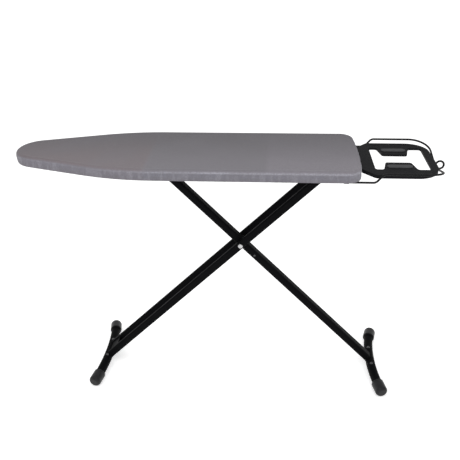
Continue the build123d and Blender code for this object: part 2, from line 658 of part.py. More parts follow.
with BuildPart() as rest_screws:
    for y in (-REST_SCREW_Y, REST_SCREW_Y):
        with BuildSketch(Plane.XY.offset(RIM_BOTTOM - REST_T)):
            with Locations((REST_SCREW_X, y)):
                Circle(SCREW_R)
        extrude(amount=REST_T + RIM_WALL)
        with BuildSketch(Plane.XY.offset(RIM_BOTTOM - REST_T)):
            with Locations((REST_SCREW_X, y)):
                Circle(8)
        extrude(amount=-3, taper=20)
        with BuildSketch(Plane.XY.offset(RIM_BOTTOM + RIM_WALL)):
            with Locations((REST_SCREW_X, y)):
                RegularPolygon(5.7, 6)
        extrude(amount=5)
finish(rest_screws, "rest_screws")

for name, y in (("front_rest_pad", -REST_PAD_Y), ("rear_rest_pad", REST_PAD_Y)):
    with BuildPart() as rest_pad:
        with BuildSketch(Plane.XY.offset(REST_TOP)):
            with Locations((TAB_X, y)):
                SlotOverall(REST_PAD[0], REST_PAD[1])
        extrude(amount=REST_PAD_T)
        fillet(rest_pad.faces().sort_by(Axis.Z)[-1].edges(), REST_PAD_T - 0.5)
    finish(rest_pad, name)

# guard wire: both halves run from under the rim, round the rest, to a ring at its end
with BuildPart() as guard_wire:
    for side in (-1, 1):
        with BuildLine() as route:
            FilletPolyline((WIRE_START, side * WIRE_Y, WIRE_LOW), (WIRE_RISE[0], side * WIRE_Y, WIRE_LOW),
                           (WIRE_RISE[1], side * WIRE_Y, WIRE_TOP), (WIRE_END, side * WIRE_Y, WIRE_TOP),
                           (WIRE_END, side * WIRE_DIP_Y, RING_Z), (WIRE_END, 0, RING_Z),
                           radius=[18, 18, WIRE_CORNER, 60])
        with BuildSketch(Plane(origin=route.line @ 0, z_dir=route.line % 0)):
            Circle(WIRE_R)
        sweep()
    with Locations((RING_X, 0, RING_Z)):
        Torus(RING_R, WIRE_R, rotation=(90, 0, 0))
finish(guard_wire, "guard_wire")

with BuildPart() as wire_clips:
    for side in (-1, 1):
        with BuildSketch(Plane(origin=(WIRE_START + 12, side * WIRE_Y, WIRE_LOW), z_dir=(1, 0, 0),
                               x_dir=(0, 1, 0))):
            Circle(WIRE_R + WIRE_CLIP_T)
            with Locations((0, SKIRT_Z - WIRE_LOW)):
                Rectangle(2 * WIRE_R + 3, 3, align=(Align.CENTER, Align.MAX))
            make_hull()
            Circle(WIRE_R, mode=Mode.SUBTRACT)
        extrude(amount=16)
finish(wire_clips, "wire_clips")
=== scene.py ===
# %% [markdown]
# # A folding ironing board
# The steel parts come measured from the CAD model, so here they only get their finishes. The cloth
# cover, the felt and the mesh deck are made in this lesson, because soft and woven things are drawn
# poorly by solids. Every length is in metres, in the same frame as the CAD model.

# %% Load the measured frame
import json
import math

import bmesh
import bpy
import numpy as np
from mathutils import Matrix, Vector


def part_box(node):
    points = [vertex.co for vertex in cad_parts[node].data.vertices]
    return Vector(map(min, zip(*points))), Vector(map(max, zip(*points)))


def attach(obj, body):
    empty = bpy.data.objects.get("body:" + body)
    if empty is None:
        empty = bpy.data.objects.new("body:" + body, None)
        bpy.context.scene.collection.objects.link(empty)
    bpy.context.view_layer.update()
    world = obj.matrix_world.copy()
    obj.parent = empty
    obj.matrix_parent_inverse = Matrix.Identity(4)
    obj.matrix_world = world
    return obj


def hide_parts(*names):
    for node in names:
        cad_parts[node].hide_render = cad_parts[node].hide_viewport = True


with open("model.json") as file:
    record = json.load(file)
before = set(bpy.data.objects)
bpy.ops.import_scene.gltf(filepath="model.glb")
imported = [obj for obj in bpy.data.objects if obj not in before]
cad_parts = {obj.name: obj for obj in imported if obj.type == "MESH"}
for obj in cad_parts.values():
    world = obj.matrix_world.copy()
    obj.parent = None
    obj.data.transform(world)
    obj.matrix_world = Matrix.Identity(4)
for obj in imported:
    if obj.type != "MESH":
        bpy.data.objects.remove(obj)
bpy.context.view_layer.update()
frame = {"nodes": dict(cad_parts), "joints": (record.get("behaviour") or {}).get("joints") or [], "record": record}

# %% [markdown]
# ## The camera
# A camera is a place and three directions. The place is a little right of the board's middle, about
# two metres in front, at head height, looking down on the ironing surface. Three directions worked
# out one by one make the tilt and the small roll plain to read, where a tracking constraint hides them.

# %% Place the camera
EYE = Vector((0.168, -2.088, 1.721))
EYE_TURN = 0.078
EYE_DIP = 0.487
EYE_ROLL = -0.017
EYE_LENS = 49.65
EYE_SENSOR = 36.0

ahead = Vector((
    -math.sin(EYE_TURN) * math.cos(EYE_DIP),
    math.cos(EYE_TURN) * math.cos(EYE_DIP),
    -math.sin(EYE_DIP),
))
level = Vector((math.cos(EYE_TURN), math.sin(EYE_TURN), 0))
upward = level.cross(ahead)
camera_right = level * math.cos(EYE_ROLL) + upward * math.sin(EYE_ROLL)
camera_up = upward * math.cos(EYE_ROLL) - level * math.sin(EYE_ROLL)

camera_data = bpy.data.cameras.new("camera")
camera_data.lens = EYE_LENS
camera_data.sensor_width = EYE_SENSOR
camera = bpy.data.objects.new("camera", camera_data)
bpy.context.scene.collection.objects.link(camera)
turn = Matrix((camera_right, camera_up, -ahead)).transposed().to_4x4()
camera.matrix_world = Matrix.Translation(EYE) @ turn
bpy.context.scene.camera = camera
print("camera at", tuple(EYE))

# %% [markdown]
# ## Writing node trees as sums
# Finishes and repeated parts are both node trees. Clicking dozens of Math nodes together is slow and
# hard to read, so one small class wraps a socket: adding or multiplying two wrapped sockets adds the
# Math node. Every other node comes from one method, which takes its type, settings and sockets.

# %% A wrapped socket, and one method for every node
class Wire:
    """A socket in a node tree; + - * / between wires or numbers add Math nodes."""

    def __init__(self, tree, socket):
        self.tree, self.socket = tree, socket

    def _sum(self, operation, first, second):
        return self.tree.node("ShaderNodeMath", {"operation": operation}, {0: first, 1: second})

    def __add__(self, other):
        return self._sum("ADD", self, other)

    def __sub__(self, other):
        return self._sum("SUBTRACT", self, other)

    def __rsub__(self, other):
        return self._sum("SUBTRACT", other, self)

    def __mul__(self, other):
        return self._sum("MULTIPLY", self, other)

    def __truediv__(self, other):
        return self._sum("DIVIDE", self, other)

    __radd__ = __add__
    __rmul__ = __mul__


class Tree:
    """A node tree that is written as Python."""

    def __init__(self, tree):
        self.tree = tree

    def node(self, kind, settings=None, sockets=None, out=0):
        """Adds a node, sets its settings first and its sockets second, and returns an output."""
        made = self.tree.nodes.new(kind)
        for name, value in (settings or {}).items():
            if name == "stops":
                for stop, (place, colour) in zip(made.color_ramp.elements, value):
                    stop.position, stop.color = place, colour
            else:
                setattr(made, name, value)
        for name, value in (sockets or {}).items():
            self.plug(made.inputs[name], value)
        return Wire(self, made.outputs[out])

    def plug(self, socket, value):
        """Gives a socket a link or a plain value."""
        if isinstance(value, Wire):
            self.tree.links.new(value.socket, socket)
        else:
            socket.default_value = value


class Finish(Tree):
    """A material around one Principled BSDF."""

    def __init__(self, name, **constants):
        self.material = bpy.data.materials.new(name)
        self.material.use_nodes = True
        super().__init__(self.material.node_tree)
        self.shader = self.tree.nodes["Principled BSDF"]
        for socket, value in constants.items():
            self.shader.inputs[socket.replace("_", " ")].default_value = value
        self.place = self.node("ShaderNodeTexCoord", out="Object")

    def noise(self, scale, detail=2.0, where=None, roughness=0.5):
        sockets = {"Vector": where or self.place, "Scale": scale, "Detail": detail,
                   "Roughness": roughness}
        return self.node("ShaderNodeTexNoise", None, sockets, out="Fac")

    def mix(self, share, first, second):
        return self.node("ShaderNodeMix", {"data_type": "RGBA"}, {0: share, 6: first, 7: second}, out=2)

    def remap(self, value, low, high, new_low=0.0, new_high=1.0):
        sockets = {"Value": value, "From Min": low, "From Max": high, "To Min": new_low,
                   "To Max": new_high}
        return self.node("ShaderNodeMapRange", {"interpolation_type": "SMOOTHSTEP"}, sockets)

    def wear(self, height, distance, strength=1.0):
        bump = self.node("ShaderNodeBump", None, {"Height": height, "Distance": distance,
                                                  "Strength": strength})
        self.plug(self.shader.inputs["Normal"], bump)

    def set(self, **links):
        for socket, value in links.items():
            self.plug(self.shader.inputs[socket.replace("_", " ")], value)


def colour(red, green, blue):
    return (red, green, blue, 1.0)


print("node helpers ready")

# %% [markdown]
# ## Cover cloth
# The cover is a plain-woven cotton with a thin metallic coating, so it is a soft grey with a hint of
# mauve. Weave could be an image, but two sine waves, one along each thread direction, never run out
# of resolution. They read the cloth's own UV map, which is the flat cut in metres, so threads follow
# the cloth round its edge. Cloudy noise gives the slight staining that ironing leaves. Five of the
# layers are painted light and aren't the cloth's own colour: a painted shade that darkens towards the
# rear edge, a bluer grey on the upright skirt for how light falls there, a painted shade along the
# skirt's lower edge, and painted highlights in a pale line along its upper edge and in slanted streaks
# along its puckers. Leaving out these mixes takes them away, and then lights alone shade the cloth.

# %% Make the cover cloth
THREAD_PITCH = 0.0009
COVER_GREY = colour(0.168, 0.156, 0.178)
COVER_SHADE = colour(0.134, 0.127, 0.143)
COVER_WARM = colour(0.136, 0.105, 0.110)
# painted shade: the colour the cloth darkens to towards the rear edge
COVER_PAINTED_REAR_SHADE = colour(0.076, 0.071, 0.080)
# painted light: a bluer grey for how light falls on the upright skirt
COVER_SKIRT_PAINTED_LIGHT = colour(0.140, 0.142, 0.176)
# painted highlight colour, for the skirt's upper edge and for its pucker streaks
COVER_PAINTED_HIGHLIGHT = colour(0.360, 0.355, 0.400)
COVER_FLUFF = colour(0.215, 0.205, 0.222)
# darker colour for thread grooves and grain, and for the painted shade along the skirt's lower edge
COVER_GROOVE_AND_HEM_SHADE = colour(0.105, 0.097, 0.108)
BAND_X = (-0.262, 0.141)
BAND_SOFT = 0.009
NOSE_EDGE = (BAND_X[0] - 0.012, BAND_X[0] + 0.006)
REAR_SHADE_SPAN = (-0.14, 0.19)           # across the board, where the painted rear shade begins and is full
SKIRT_BELOW_TOP = (0.010, 0.002)    # depths below the top, as are the next two
EDGE_HIGHLIGHT_BELOW_TOP = (0.015, 0.008)
EDGE_HIGHLIGHT_ALONG = (-0.50, 0.0)         # the painted highlight line fades towards the nose
HEM_SHADE_HEIGHT = 0.018                    # height of the painted shade along the lower edge
PUCKER_SLANT = 1.0

cover_cloth = Finish("cover_cloth", Roughness=0.82, Specular_IOR_Level=0.25, Sheen_Weight=0.12,
                     Sheen_Roughness=0.5)
flat_cut = cover_cloth.node("ShaderNodeUVMap", {"uv_map": "flat_cut"})
along_board = cover_cloth.node("ShaderNodeSeparateXYZ", None, {0: flat_cut})
across_board = Wire(cover_cloth, along_board.socket.node.outputs[1])
axes = cover_cloth.node("ShaderNodeSeparateXYZ", None, {0: cover_cloth.place})
height = Wire(cover_cloth, axes.socket.node.outputs[2])
cloth_bottom, cloth_top = (corner.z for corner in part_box("cover"))


def thread_wave(axis):
    return cover_cloth.node("ShaderNodeMath", {"operation": "SINE"},
                            {0: axis * (2 * math.pi / THREAD_PITCH)})


def step_up(place):
    return cover_cloth.remap(along_board, place - BAND_SOFT, place + BAND_SOFT)


def below_top(depths):
    """Rises from 0 at the first depth below the cloth's top to 1 at the second."""
    return cover_cloth.remap(height, cloth_top - depths[0], cloth_top - depths[1])


def stretched_noise(scale, detail, **mapping):
    return cover_cloth.noise(scale, detail, cover_cloth.node(
        "ShaderNodeMapping", None, {"Vector": cover_cloth.place, **mapping}))


weave = thread_wave(along_board) * thread_wave(across_board)
clouds = cover_cloth.noise(5.5, 3.0)
fibres = cover_cloth.noise(420.0, 3.0)
heather = cover_cloth.noise(210.0, 3.0)
slubs = stretched_noise(280.0, 3.0, Scale=(1, 0.3, 1))
grain = heather * 0.5 + slubs * 0.5
band = step_up(BAND_X[0]) - step_up(BAND_X[1])
nose_warmth = 1 - cover_cloth.remap(along_board, *NOSE_EDGE)
# painted shade: a mask that darkens the cloth towards the rear edge
painted_rear_shade = cover_cloth.remap(across_board, *REAR_SHADE_SPAN)
on_skirt = 1 - below_top(SKIRT_BELOW_TOP)
# painted highlight: a pale line along the skirt's upper edge
painted_edge_highlight = on_skirt * below_top(EDGE_HIGHLIGHT_BELOW_TOP) * cover_cloth.remap(along_board, *EDGE_HIGHLIGHT_ALONG, 0.15, 1.0)
# painted shade: darker towards the skirt's lower edge
painted_hem_shade = 1 - cover_cloth.remap(height, cloth_bottom, cloth_bottom + HEM_SHADE_HEIGHT)
puckers = on_skirt * stretched_noise(52.0, 2.0, Rotation=(0, PUCKER_SLANT, 0), Scale=(1, 0.5, 0.3))

cover_layers = [
    (nose_warmth * 0.85, COVER_WARM),
    # painted shade towards the rear edge
    (painted_rear_shade * 0.95, COVER_PAINTED_REAR_SHADE),
    # painted light: the upright skirt's bluer grey stands in for how light falls on it
    (on_skirt * 0.7, COVER_SKIRT_PAINTED_LIGHT),
    # painted highlight along the skirt's upper edge
    (painted_edge_highlight * 0.85, COVER_PAINTED_HIGHLIGHT),
    # painted shade along the skirt's lower edge
    (painted_hem_shade * 0.55, COVER_GROOVE_AND_HEM_SHADE),
    # painted highlight: pale slanted streaks along the skirt's puckers, whose bump is real
    (cover_cloth.remap(puckers, 0.45, 0.65, 0.0, 0.24), COVER_PAINTED_HIGHLIGHT),
    (cover_cloth.remap(grain, 0.42, 0.60, 0.0, 0.50), COVER_GROOVE_AND_HEM_SHADE),
    (cover_cloth.remap(clouds, 0.35, 0.65, 0.0, 0.35), COVER_SHADE),
    (cover_cloth.remap(fibres, 0.3, 0.7, 0.0, 0.28), COVER_FLUFF),
    (weave * 0.10 + 0.10, COVER_GROOVE_AND_HEM_SHADE),
]
cover_colour = cover_cloth.mix(band, COVER_GREY, COVER_SHADE)
for share, tint in cover_layers:
    cover_colour = cover_cloth.mix(share, cover_colour, tint)
cover_cloth.set(Base_Color=cover_colour, Roughness=cover_cloth.remap(clouds, 0.3, 0.7, 0.76, 0.88))
cover_cloth.wear(weave * 0.5 + fibres + puckers * 9, 0.00022, 0.7)
print("cover cloth:", len(cover_cloth.tree.nodes), "nodes")

# %% [markdown]
# ## Felt, thread and elastic
# The underlay is needled felt, a mat of crossing fibres, which two stretched noises suggest well.
# Thread is twisted yarn and elastic is ribbed, and both are seen only from below.

# %% Make the felt, the thread and the elastic
felt = Finish("felt", Roughness=0.95, Specular_IOR_Level=0.15, Sheen_Weight=0.4)
stretched = felt.node("ShaderNodeMapping", None, {"Vector": felt.place, "Scale": (1.0, 0.22, 1.0)})
felt_fibres = felt.noise(260.0, 5.0, stretched) + felt.noise(190.0, 4.0)
felt_colour = felt.mix(felt.remap(felt_fibres, 0.7, 1.3), colour(0.50, 0.48, 0.44),
                       colour(0.78, 0.76, 0.72))
felt.set(Base_Color=felt_colour)
felt.wear(felt_fibres, 0.0006, 0.8)

hem_thread = Finish("hem_thread", Roughness=0.7, Sheen_Weight=0.3)
hem_thread.set(Base_Color=hem_thread.mix(hem_thread.noise(900.0), colour(0.30, 0.29, 0.31),
                                         colour(0.42, 0.40, 0.43)))

hem_elastic = Finish("hem_elastic", Roughness=0.8, Sheen_Weight=0.25)
ruffle = hem_elastic.noise(160.0, 3.0)
hem_elastic.set(Base_Color=hem_elastic.mix(ruffle, colour(0.16, 0.15, 0.165), colour(0.27, 0.26, 0.28)))
hem_elastic.wear(ruffle, 0.0008, 0.6)
print("soft finishes ready")

# %% [markdown]
# ## Painted, plated and moulded finishes
# Powder coat flows like thick paint before it sets, so it is never quite flat: a faint orange peel
# in the bump breaks up its highlights. The iron rest has a coarser, sandy coat that hides scratches.
# Zinc shows fine turning marks, and moulded plastic has a grained skin. Each has its own scale.

# %% Make the hard finishes
def painted(name, tint, roughness, peel_scale, peel, coat=0.0, dust=0.03, level=0.4):
    """Powder coat: a base colour with faint dust, an orange-peel bump and patchy gloss."""
    made = Finish(name, Coat_Weight=coat, Coat_Roughness=0.12, Specular_IOR_Level=level)
    patches = made.noise(14.0, 4.0)
    pale = tuple(min(1.0, c + dust) for c in tint[:3]) + (1.0,)
    made.set(Base_Color=made.mix(made.remap(patches, 0.45, 0.8), tint, pale),
             Roughness=made.remap(patches, 0.3, 0.7, roughness * 0.88, roughness * 1.15))
    made.wear(made.noise(peel_scale, 2.0), peel, 0.6)
    return made


def speckled(name, tint, roughness, level):
    """Sandy textured coat on the iron rest."""
    made = Finish(name, Specular_IOR_Level=level)
    grains = made.noise(900.0, 2.0)
    tint_high = tuple(min(1.0, c * 1.9) for c in tint[:3]) + (1.0,)
    made.set(Base_Color=made.mix(made.remap(grains, 0.45, 0.7), tint, tint_high),
             Roughness=made.remap(grains, 0.3, 0.7, roughness - 0.06, roughness + 0.08))
    made.wear(grains + made.noise(2200.0, 1.0) * 0.4, 0.00035, 0.8)
    return made


def plated(name, tint, roughness, dull=colour(0.56, 0.56, 0.55)):
    """Plated steel: metallic with fine turning marks and cloudy dull spots."""
    made = Finish(name, Metallic=1.0)
    scratches = made.noise(1400.0, 3.0, made.node("ShaderNodeMapping", None,
                           {"Vector": made.place, "Scale": (1.0, 0.06, 1.0)}))
    cloudy = made.noise(120.0, 3.0)
    made.set(Base_Color=made.mix(cloudy, tint, dull),
             Roughness=made.remap(cloudy + scratches * 0.3, 0.4, 0.9, roughness, roughness + 0.2))
    made.wear(scratches, 0.00005, 0.5)
    return made


def moulded(name, tint, roughness, level=0.35):
    """Grained plastic or rubber."""
    made = Finish(name, Specular_IOR_Level=level)
    grain = made.noise(1300.0, 3.0)
    scuffs = made.noise(35.0, 5.0)
    tint_high = tuple(min(1.0, c * 1.6 + 0.01) for c in tint[:3]) + (1.0,)
    made.set(Base_Color=made.mix(made.remap(scuffs, 0.5, 0.8), tint, tint_high),
             Roughness=made.remap(scuffs, 0.3, 0.7, roughness - 0.05, roughness + 0.08))
    made.wear(grain, 0.00012, 0.7)
    return made


finishes = {
    "cover_fabric": cover_cloth,
    "felt": felt,
    "deck_steel": painted("deck_steel", colour(0.36, 0.36, 0.37), 0.45, 300.0, 0.0001),
    "black_paint": painted("black_paint", colour(0.0040, 0.0041, 0.0047), 0.48, 260.0, 0.00008, 0.0,
                           0.002, 0.02),
    "charcoal_paint": speckled("charcoal_paint", colour(0.0060, 0.0060, 0.0070), 0.52, 0.045),
    "wire_paint": painted("wire_paint", colour(0.005, 0.005, 0.0056), 0.35, 420.0, 0.00006, 0.0, 0.002,
                          0.09),
    "foot_plastic": moulded("foot_plastic", colour(0.0080, 0.0080, 0.0092), 0.38, 0.25),
    "zinc": plated("zinc", colour(0.62, 0.62, 0.63), 0.26, colour(0.42, 0.42, 0.42)),
    "black_oxide": plated("black_oxide", colour(0.13, 0.13, 0.135), 0.30, colour(0.05, 0.05, 0.05)),
    "silicone": moulded("silicone", colour(0.030, 0.030, 0.033), 0.50, 0.25),
    "nylon": moulded("nylon", colour(0.045, 0.045, 0.047), 0.40),
}
print("finishes:", sorted(finishes))

# %% [markdown]
# ## Dressing the CAD parts
# The record says which finish each measured part has. The shapes stay exactly as they are, and only
# the material slot is filled, so nothing can drift away from the CAD model.

# %% Give every CAD part its finish
for row in frame["record"]["subparts"]:
    part = frame["nodes"][row["node"]]
    part.data.materials.clear()
    part.data.materials.append(finishes[row["material_slot"]].material)

# %% [markdown]
# ## The edge line that everything soft follows
# Cover, felt, hem and deck all follow the same outline: a round nose, two straight tapers, long
# shoulders, parallel sides and a slightly bowed end with round corners. It is worked out once from
# arcs, as evenly spaced points with their outward directions, so any inset copy is one subtraction.

# %% Work out the outline
cover_low, cover_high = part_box("cover")
HALF_WIDTH = 0.190
NOSE_RADIUS = 0.092
NOSE_TAPER = math.radians(17.4)
SHOULDER_RADIUS = 0.800
END_BOW = 0.009
END_CORNER = 0.048


def arc(centre, radius, start, stop, steps=60):
    angles = np.linspace(start, stop, steps)
    return np.stack([centre[0] + radius * np.cos(angles), centre[1] + radius * np.sin(angles)], 1)


def half_outline():
    """Rear half of the outline, from the nose's tip to the middle of the square end."""
    nose_centre = (cover_low.x + NOSE_RADIUS, 0)
    touch = arc(nose_centre, NOSE_RADIUS, math.pi, math.pi / 2 + NOSE_TAPER)
    shoulder_x = touch[-1][0] + (HALF_WIDTH - touch[-1][1]) / math.tan(NOSE_TAPER)
    reach = SHOULDER_RADIUS * math.tan(NOSE_TAPER / 2)
    shoulder = arc((shoulder_x + reach, HALF_WIDTH - SHOULDER_RADIUS), SHOULDER_RADIUS,
                   math.pi / 2 + NOSE_TAPER, math.pi / 2)
    bow_radius = (HALF_WIDTH ** 2 + END_BOW ** 2) / (2 * END_BOW)
    bow_x = cover_high.x - bow_radius
    corner_y = HALF_WIDTH - END_CORNER
    corner_x = bow_x + math.sqrt((bow_radius - END_CORNER) ** 2 - corner_y ** 2)
    corner_end = math.atan2(corner_y, corner_x - bow_x)
    corner = arc((corner_x, corner_y), END_CORNER, math.pi / 2, corner_end)
    bow = arc((bow_x, 0), bow_radius, corner_end, 0)
    return np.concatenate([touch, shoulder, corner, bow])


def edge_line(count):
    """(points, outward directions) at even spacing round the outline; count is even."""
    half = half_outline()
    steps = np.linalg.norm(np.diff(half, axis=0), axis=1)
    half = half[np.concatenate([[True], steps > 1e-9])]
    steps = np.linalg.norm(np.diff(half, axis=0), axis=1)
    run = np.concatenate([[0], np.cumsum(steps)])
    even = np.linspace(0, run[-1], count // 2 + 1)
    rear = np.stack([np.interp(even, run, half[:, 0]), np.interp(even, run, half[:, 1])], 1)
    front = rear[1:-1][::-1] * [1, -1]
    points = np.concatenate([rear, front])
    tangent = np.roll(points, -1, 0) - np.roll(points, 1, 0)
    outward = np.stack([-tangent[:, 1], tangent[:, 0]], 1)
    return points, outward / np.linalg.norm(outward, axis=1)[:, None], run[-1] * 2


EDGE_COUNT = 560
edge_points, edge_out, edge_length = edge_line(EDGE_COUNT)
print("outline length", round(edge_length, 3), "m in", EDGE_COUNT, "points")

# %% [markdown]
# ## Making objects
# Three small helpers keep the rest short: one makes a mesh object, one finishes it by smoothing and
# dressing it, and one puts it on its body so that it moves with the folding legs or stays put.

# %% Helpers that make, dress and seat a piece
def make_object(name, vertices, faces=(), edges=()):
    mesh = bpy.data.meshes.new(name)
    mesh.from_pydata([tuple(v) for v in vertices], list(edges), list(faces))
    mesh.validate()
    made = bpy.data.objects.new(name, mesh)
    bpy.context.scene.collection.objects.link(made)
    return made


def seat(piece, body, finish):
    piece.data.materials.clear()
    piece.data.materials.append(finish.material)
    piece.data.polygons.foreach_set("use_smooth", [True] * len(piece.data.polygons))
    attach(piece, body)
    triangles = sum(len(p.vertices) - 2 for p in piece.data.polygons)
    print(piece.name, "on", body, triangles, "triangles")
    return piece


def spine_point(point):
    """Where a row of cloth or felt that starts at an edge point reaches the middle line."""
    return np.array([min(max(point[0], cover_low.x + 0.10), cover_high.x - 0.13), 0.0])


def ringed_mesh(rows, closed=False):
    """Vertices and faces of a form made of rows round the outline, the first on the middle line.
    Points that meet on the middle line share one vertex, so it has no slit."""
    vertices, ids, shared = [], [], {}
    for number, row in enumerate(rows):
        on_spine = number == 0 or closed and number == len(rows) - 1
        line = []
        for point in row:
            key = tuple(np.round(point, 5)) if on_spine else len(vertices)
            if key not in shared:
                shared[key] = len(vertices)
                vertices.append(point)
            line.append(shared[key])
        ids.append(line)
    faces = []
    for inner, outer in zip(ids, ids[1:]):
        for k in range(len(inner)):
            n = (k + 1) % len(inner)
            corners = tuple(dict.fromkeys([inner[k], outer[k], outer[n], inner[n]]))
            if len(corners) > 2:
                faces.append(corners)
    return vertices, ids, faces


print("helpers ready")

# %% [markdown]
# ## The cover's shape
# The real cover is one flat piece of cloth, pulled over the pad by an elastic in its hem. Its form is
# therefore a profile carried round the outline: flat top, rounded edge, upright skirt, and the hem
# turned in below the rim. Closed rows of points give even, square cells, which the simulation needs.
# The UV map unrolls each row outwards by its true distance, as the flat cut was.

# %% Lay out the cover's rows
EDGE_RADIUS = 0.010
HEM_REACH = 0.034
FOLD_RADIUS = 0.0015
CLOTH_THICKNESS = 0.0011
TOP_ROWS = 16
NOTCH_HALF = 0.0875
NOTCH_TOP = 0.8926

spine = np.array([spine_point(p) for p in edge_points])
inner_edge = edge_points - edge_out * EDGE_RADIUS


def at_height(flat_points, height):
    return np.column_stack([flat_points, np.full(len(flat_points), height)])


def cover_rows():
    """Rows of the cover from the middle line outwards, with each row's place on the flat cut."""
    rows, cut = [], []
    for share in 1 - (1 - np.linspace(0, 1, TOP_ROWS)) ** 1.35:
        flat = spine + (inner_edge - spine) * share
        rows.append(at_height(flat, cover_high.z))
        cut.append(flat)
    profile = [(EDGE_RADIUS * (1 - math.sin(a)), cover_high.z - EDGE_RADIUS * (1 - math.cos(a)))
               for a in np.linspace(0, math.pi / 2, 6)[1:]]
    profile += [(0, z) for z in np.linspace(cover_high.z - EDGE_RADIUS, NOTCH_TOP, 10)[1:]]
    profile += [(FOLD_RADIUS * (1 - math.cos(a)), cover_low.z + FOLD_RADIUS * (1 - math.sin(a)))
                for a in np.linspace(0, math.pi / 2, 4)[1:]]
    profile += [(x, cover_low.z) for x in np.linspace(FOLD_RADIUS, HEM_REACH, 7)[1:]]
    travelled, before = 0.0, (EDGE_RADIUS, cover_high.z)
    for inset, height in profile:
        travelled += math.dist(before, (inset, height))
        before = (inset, height)
        rows.append(at_height(edge_points - edge_out * inset, height))
        cut.append(inner_edge + edge_out * travelled)
    return rows, cut, travelled


rows, cut, cloth_beyond_edge = cover_rows()
cover_points, cover_ids, cover_faces = ringed_mesh(rows)
cover_points = np.array(cover_points)
print(len(rows), "rows,", len(cover_points), "points")

# %% [markdown]
# ## Creases in the skirt
# Cloth that is gathered by an elastic has a little more length at the skirt than it needs, so it
# buckles into small slanted creases. Drawing them by hand looks regular. Here a cloth simulation lets
# the skirt's cloth grow by a few percent between the pinned top and the pinned hem, and it buckles by
# itself. Faint slanted ripples, from a fixed seed, tell it which way to start. How far a point may
# move is capped, because the rim stands close behind the cloth. The cap shrinks towards the skirt's
# upper and lower edges, where the cloth is drawn tight. Beside the felt nothing moves inwards.

# %% Simulate the skirt
BAND_FIRST_ROW = TOP_ROWS - 3
CLOTH_GROWTH = 0.022
SIM_FRAMES = 22
CREASE_OUT = 0.0026
CREASE_IN = 0.0005
CREASE_ASIDE = 0.0012
TIGHT_BELOW_EDGE = 0.004
SKIRT_SWELLS = 5
CREASE_SEED = 11

skirt_middle = (cover_high.z + cover_low.z) / 2
along_edge = np.linspace(0, edge_length, EDGE_COUNT, endpoint=False)


def slanted_ripples(height):
    """Small slanted waves along the skirt, strongest at its middle height."""
    random = np.random.default_rng(CREASE_SEED)
    total = np.zeros(EDGE_COUNT)
    for _ in range(14):
        turns = random.integers(17, 95)
        slant = random.uniform(-110, 110)
        phase = random.uniform(0, 2 * math.pi)
        size = random.uniform(0.4, 1.0)
        total += size * np.sin(turns * 2 * math.pi * along_edge / edge_length
                               + slant * (height - skirt_middle) + phase)
    fade = max(0.0, 1 - ((height - skirt_middle) / 0.0205) ** 2)
    swell = 0.6 + 0.4 * np.sin(SKIRT_SWELLS * 2 * math.pi * along_edge / edge_length + CREASE_SEED)
    return total / 4 * fade * swell


def buckle(points):
    """Runs the cloth simulation on the outer band of the cover and returns all its points."""
    first = cover_ids[BAND_FIRST_ROW][0]
    faces = [tuple(i - first for i in f) for f in cover_faces if min(f) >= first]
    band_piece = make_object("skirt_band", points[first:], faces)
    held = band_piece.vertex_groups.new(name="held")
    hold_top = [i - first for row in cover_ids[BAND_FIRST_ROW:TOP_ROWS + 1] for i in row]
    hold_hem = [i - first for row in cover_ids[-4:] for i in row]
    held.add(hold_top + hold_hem, 1.0, "REPLACE")
    cloth = band_piece.modifiers.new("cloth", "CLOTH")
    cloth.settings.quality = 5
    cloth.settings.mass = 0.15
    cloth.settings.tension_stiffness = 20
    cloth.settings.compression_stiffness = 20
    cloth.settings.shear_stiffness = 6
    cloth.settings.bending_stiffness = 0.25
    cloth.settings.air_damping = 2
    cloth.settings.shrink_min = -CLOTH_GROWTH
    cloth.settings.vertex_group_mass = "held"
    cloth.settings.effector_weights.gravity = 0
    cloth.point_cache.frame_start = 1
    cloth.point_cache.frame_end = SIM_FRAMES
    scene = bpy.context.scene
    for number in range(1, SIM_FRAMES + 1):
        scene.frame_set(number)
    result = band_piece.evaluated_get(bpy.context.evaluated_depsgraph_get())
    flat = np.zeros(len(result.data.vertices) * 3)
    result.data.vertices.foreach_get("co", flat)
    bpy.data.objects.remove(band_piece)
    scene.frame_set(1)
    settled = points.copy()
    settled[first:] = flat.reshape(-1, 3)
    return settled


started = cover_points.copy()
for row in cover_ids[TOP_ROWS:-6]:
    ripple = slanted_ripples(cover_points[row[0]][2])
    started[row, :2] += edge_out * ripple[:, None] * 0.0004
buckled = buckle(started)

for row in cover_ids[BAND_FIRST_ROW:]:
    move = buckled[row] - cover_points[row]
    outwards = np.sum(move[:, :2] * edge_out, axis=1)
    aside = move.copy()
    aside[:, :2] -= edge_out * outwards[:, None]
    on_rounding = cover_points[row[0]][2] > cover_high.z - EDGE_RADIUS - TIGHT_BELOW_EDGE
    from_middle = abs(cover_points[row[0]][2] - skirt_middle)
    middle_share = max(0.0, 1 - from_middle / (skirt_middle - cover_low.z))
    reach_out = CREASE_OUT * (0.08 + 0.92 * middle_share)
    kept = np.clip(outwards, 0 if on_rounding else -CREASE_IN, reach_out)
    cover_points[row, :2] += edge_out * kept[:, None]
    aside_limit = CREASE_ASIDE * middle_share
    cover_points[row] += np.clip(aside, -aside_limit, aside_limit)
print("creases reach", round(float(np.abs(buckled - started).max()) * 1000, 2), "mm before the cap")

# %% [markdown]
# ## The finished cover
# The hem and the skirt's lower edge are cut away where the iron rest's tongue comes out, as on the
# real cover. The top gets a broad, very shallow unevenness, because felt is never quite flat.
# Solidify gives the cloth its thickness on the inside, so the outline keeps its measured size.

# %% Make the cover
def in_notch(k):
    return edge_points[k][0] > 0 and abs(edge_points[k][1]) < NOTCH_HALF and edge_out[k][0] > 0.7


